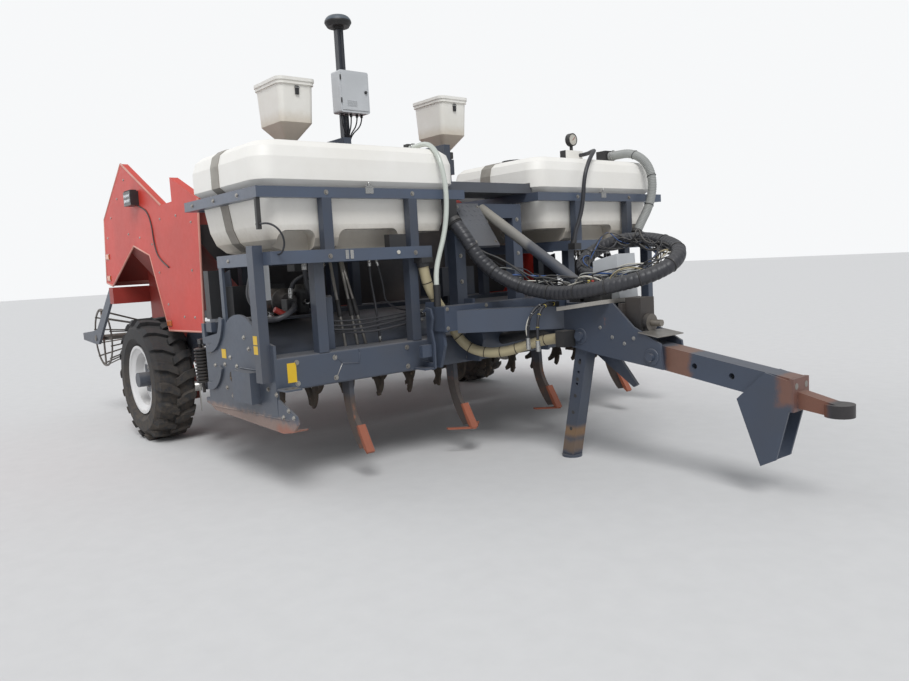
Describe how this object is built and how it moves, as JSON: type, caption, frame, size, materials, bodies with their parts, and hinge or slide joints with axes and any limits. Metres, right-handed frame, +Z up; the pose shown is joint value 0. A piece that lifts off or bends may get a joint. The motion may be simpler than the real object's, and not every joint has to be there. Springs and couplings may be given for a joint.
{
  "type": "potato planter",
  "caption": "Trailed potato planter with a front tiller, liquid tanks on a frame, a seed hopper, cup belts and a cage roller.",
  "frame": {"origin": "on the ground under the centre of the overall box", "axes": "+X forward to the hitch, +Y to the machine's left, +Z up"},
  "size_m": [6.035, 3.3, 2.985],
  "materials": {
    "frame_paint": "semi-gloss, dark blue-grey, dusty",
    "red_paint": "semi-gloss, faded, edges worn pale",
    "tank_plastic": "moulded, satin, dusty",
    "rim_paint": "gloss, dusty",
    "tyre_rubber": "matt, muddy",
    "bare_steel": "worn by soil",
    "rusty_steel": "rough, rusty",
    "hose_rubber": "matt black",
    "pale_hose": "satin, cream",
    "clear_hose": "satin, milky",
    "guard_plastic": "satin black",
    "pale_box": "satin, off-white",
    "steel_tread": "raised pattern, worn",
    "lamp": "gloss with a clear front"
  },
  "bodies": {
    "chassis": {"cage_arms": "frame_paint", "clear_hose": "clear_hose", "control_boxes": "pale_box", "coupler_front": "bare_steel", "coupler_hose_front": "hose_rubber", "coupler_hose_rear": "hose_rubber", "coupler_rear": "bare_steel", "cross_members": "frame_paint", "cup_belts": "hose_rubber", "drawbar_arms": "frame_paint", "drawbar_cheeks": "frame_paint", "drawbar_mount": "frame_paint", "drive_shaft": "guard_plastic", "fill_hose": "pale_hose", "frame_posts": "frame_paint", "granule_beam": "frame_paint", "granule_bins": "tank_plastic", "granule_posts": "frame_paint", "headstock": "frame_paint", "hopper_sides": "red_paint", "hopper_trough": "red_paint", "hose_fittings": "guard_plastic", "hose_loom": "hose_rubber", "hose_tray": "pale_box", "loosener_shanks": "frame_paint", "loosener_shares": "rusty_steel", "main_rails": "frame_paint", "planter_toolbar": "red_paint", "planting_units": "red_paint", "pto_gearbox": "rusty_steel", "receiver_mast": "pale_box", "running_arms": "frame_paint", "sensor_cable": "hose_rubber", "springs": "rusty_steel", "suction_hose": "pale_hose", "tank_cross_members": "frame_paint", "tank_side_members": "frame_paint", "tank_straps": "bare_steel", "tanks": "tank_plastic", "telescopic_bar": "frame_paint", "tiller_drive": "frame_paint", "tiller_end_plates": "frame_paint", "tiller_hood": "frame_paint", "top_link": "frame_paint", "tread_plates": "steel_tread", "vent_hose": "hose_rubber", "work_lamps": "lamp"},
    "wheel_right": {"tyre_right": "tyre_rubber", "rim_right": "rim_paint"},
    "wheel_left": {"tyre_left": "tyre_rubber", "rim_left": "rim_paint"},
    "rotor": {"tiller_rotor": "rusty_steel"},
    "cage": {"cage_roller": "bare_steel"},
    "stand": {"stand_leg": "frame_paint"},
    "lid_right": {"granule_lid_right": "tank_plastic"},
    "lid_left": {"granule_lid_left": "tank_plastic"},
    "disc_right": {"side_disc_right": "bare_steel"},
    "disc_left": {"side_disc_left": "bare_steel"}
  },
  "joints": [
    {"name": "wheel_right_spin", "type": "hinge", "parent": "chassis", "child": "wheel_right", "pos_m": [-1.2555, -1.5, 0.44], "axis": [0, 1, 0], "continuous": true},
    {"name": "wheel_left_spin", "type": "hinge", "parent": "chassis", "child": "wheel_left", "pos_m": [-1.2555, 1.5, 0.44], "axis": [0, 1, 0], "continuous": true},
    {"name": "rotor_spin", "type": "hinge", "parent": "chassis", "child": "rotor", "pos_m": [0.3125, 0, 0.59], "axis": [0, 1, 0], "continuous": true},
    {"name": "cage_spin", "type": "hinge", "parent": "chassis", "child": "cage", "pos_m": [-2.6075, 0, 0.675], "axis": [0, 1, 0], "continuous": true},
    {"name": "disc_right_spin", "type": "hinge", "parent": "chassis", "child": "disc_right", "pos_m": [-0.6475, -1.42, 0.425], "axis": [-0.342, -0.9397, 0], "continuous": true},
    {"name": "disc_left_spin", "type": "hinge", "parent": "chassis", "child": "disc_left", "pos_m": [-0.6475, 1.42, 0.425], "axis": [-0.342, 0.9397, 0], "continuous": true},
    {"name": "stand_fold", "type": "hinge", "parent": "chassis", "child": "stand", "pos_m": [1.5925, -0.04, 0.717], "axis": [0, -1, 0], "range_deg": [0, 74]},
    {"name": "lid_right_hinge", "type": "hinge", "parent": "chassis", "child": "lid_right", "pos_m": [-0.7035, -0.696, 2.44], "axis": [0, -1, 0], "range_deg": [0, 100]},
    {"name": "lid_left_hinge", "type": "hinge", "parent": "chassis", "child": "lid_left", "pos_m": [-0.7035, 0.696, 2.44], "axis": [0, -1, 0], "range_deg": [0, 100]}
  ]
}
